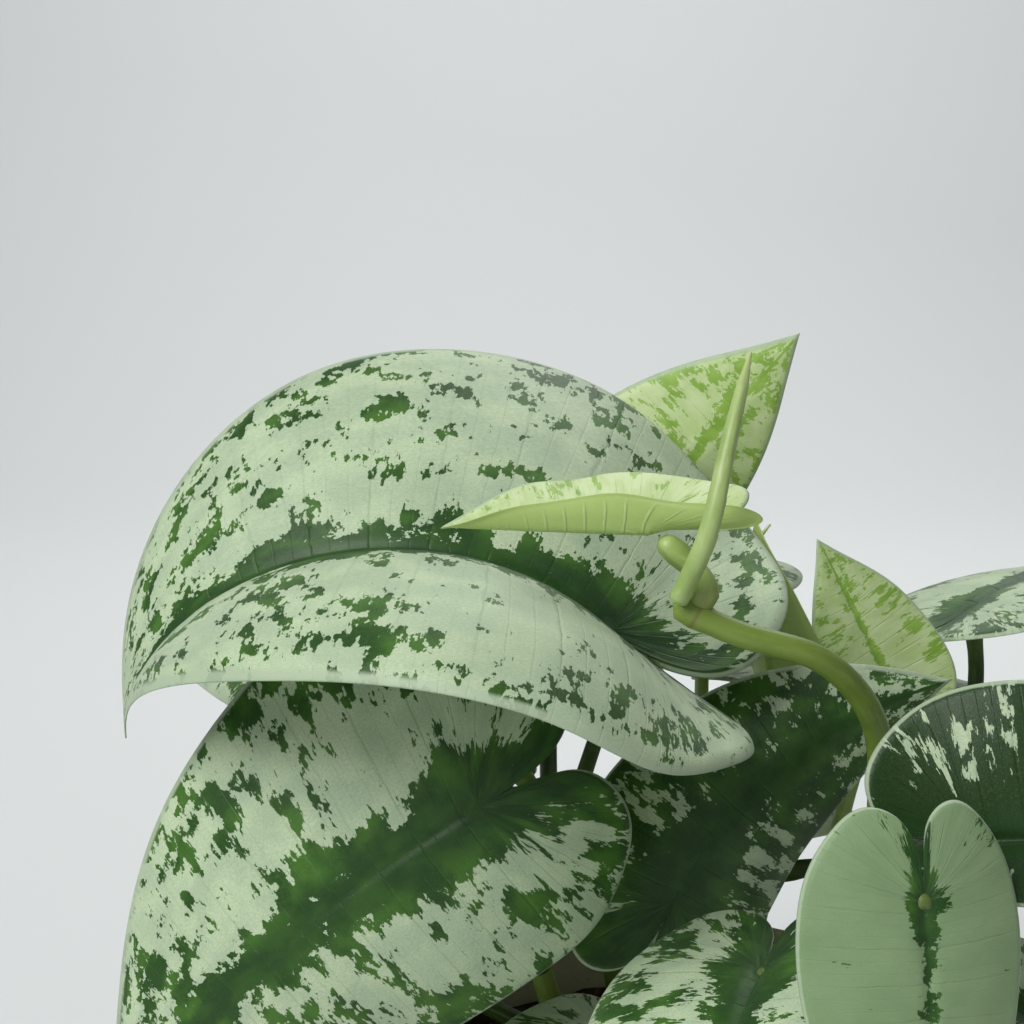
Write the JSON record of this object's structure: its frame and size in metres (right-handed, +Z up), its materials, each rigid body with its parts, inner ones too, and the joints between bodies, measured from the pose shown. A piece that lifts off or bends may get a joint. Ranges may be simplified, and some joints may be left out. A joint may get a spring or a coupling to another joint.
{
  "type": "potted pothos plant",
  "caption": "Bushy satin pothos with big heart-shaped leaves, green splashed with silver, on long petioles in a plain round tapered pot with drainage holes.",
  "frame": {"origin": "centre of the pot's flat underside", "axes": "+Z up; -Y faces the viewer that the front leaves face; +X to that viewer's right"},
  "size_m": [0.3068, 0.2879, 0.3022],
  "materials": {
    "leaf": "satin, green blotched with silver",
    "young_leaf": "satin, light yellow-green",
    "stem": "satin, green",
    "pot": "matte, warm off-white",
    "potting_mix": "rough, crumbly, dark"
  },
  "bodies": {
    "root": {"leaf_great": "leaf", "leaf_front_left": "leaf", "leaf_front_middle": "leaf", "leaf_front_low": "leaf", "leaf_silver": "leaf", "leaf_right_dark": "leaf", "leaf_right_edge": "leaf", "leaf_lime": "young_leaf", "leaf_back_right": "leaf", "leaf_upright": "young_leaf", "leaf_pale": "young_leaf", "leaf_left_high": "leaf", "leaf_left_low": "leaf", "leaf_back_left": "leaf", "leaf_back_low_left": "leaf", "leaf_back_middle": "leaf", "leaf_back_low": "leaf", "leaf_back_corner": "leaf", "leaf_right_high": "leaf", "leaf_right_low": "leaf", "leaf_right_back_low": "leaf", "leaf_unrolling": "young_leaf", "leaf_inner_low": "leaf", "stem_front": "stem", "stem_left": "stem", "stem_middle": "stem", "stem_right": "stem", "stem_back": "stem", "stem_back_right": "stem", "shoot_tip": "young_leaf", "shoot_inner": "young_leaf", "pot": "pot", "potting_mix": "potting_mix"}
  },
  "joints": []
}
